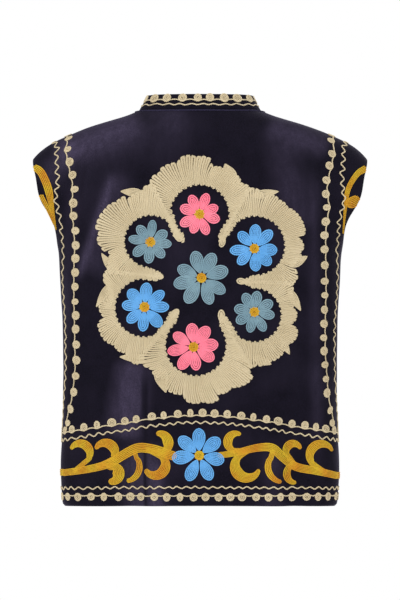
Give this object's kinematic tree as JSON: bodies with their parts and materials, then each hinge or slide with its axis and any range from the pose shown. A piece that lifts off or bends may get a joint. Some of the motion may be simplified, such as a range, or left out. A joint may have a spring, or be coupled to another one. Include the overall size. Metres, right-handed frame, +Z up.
{
  "type": "embroidered folk vest",
  "caption": "Sleeveless waist-length folk vest in dark velvet with a low stand collar, cap shoulders and an open centre front, hollow as worn, with chain-stitched flowers and borders.",
  "frame": {"origin": "middle of the neck, level with the points where the shoulder seams meet the collar, where the vest hangs from the wearer's shoulders", "axes": "+Z up along the worn vest, the wearer facing -Y, their left towards +X"},
  "size_m": [0.451, 0.2161, 0.5544],
  "materials": {
    "velvet": "dark navy cotton velvet with a short upright nap",
    "cream_thread": "matt cotton embroidery thread in chain stitch",
    "pink_thread": "matt cotton embroidery thread in chain stitch",
    "slate_thread": "matt cotton embroidery thread in chain stitch",
    "blue_thread": "matt cotton embroidery thread in chain stitch",
    "gold_thread": "mixed gold and ochre embroidery thread in chain stitch"
  },
  "bodies": {
    "root": {"back": "velvet", "front_left": "velvet", "front_right": "velvet", "collar": "velvet"}
  },
  "joints": []
}
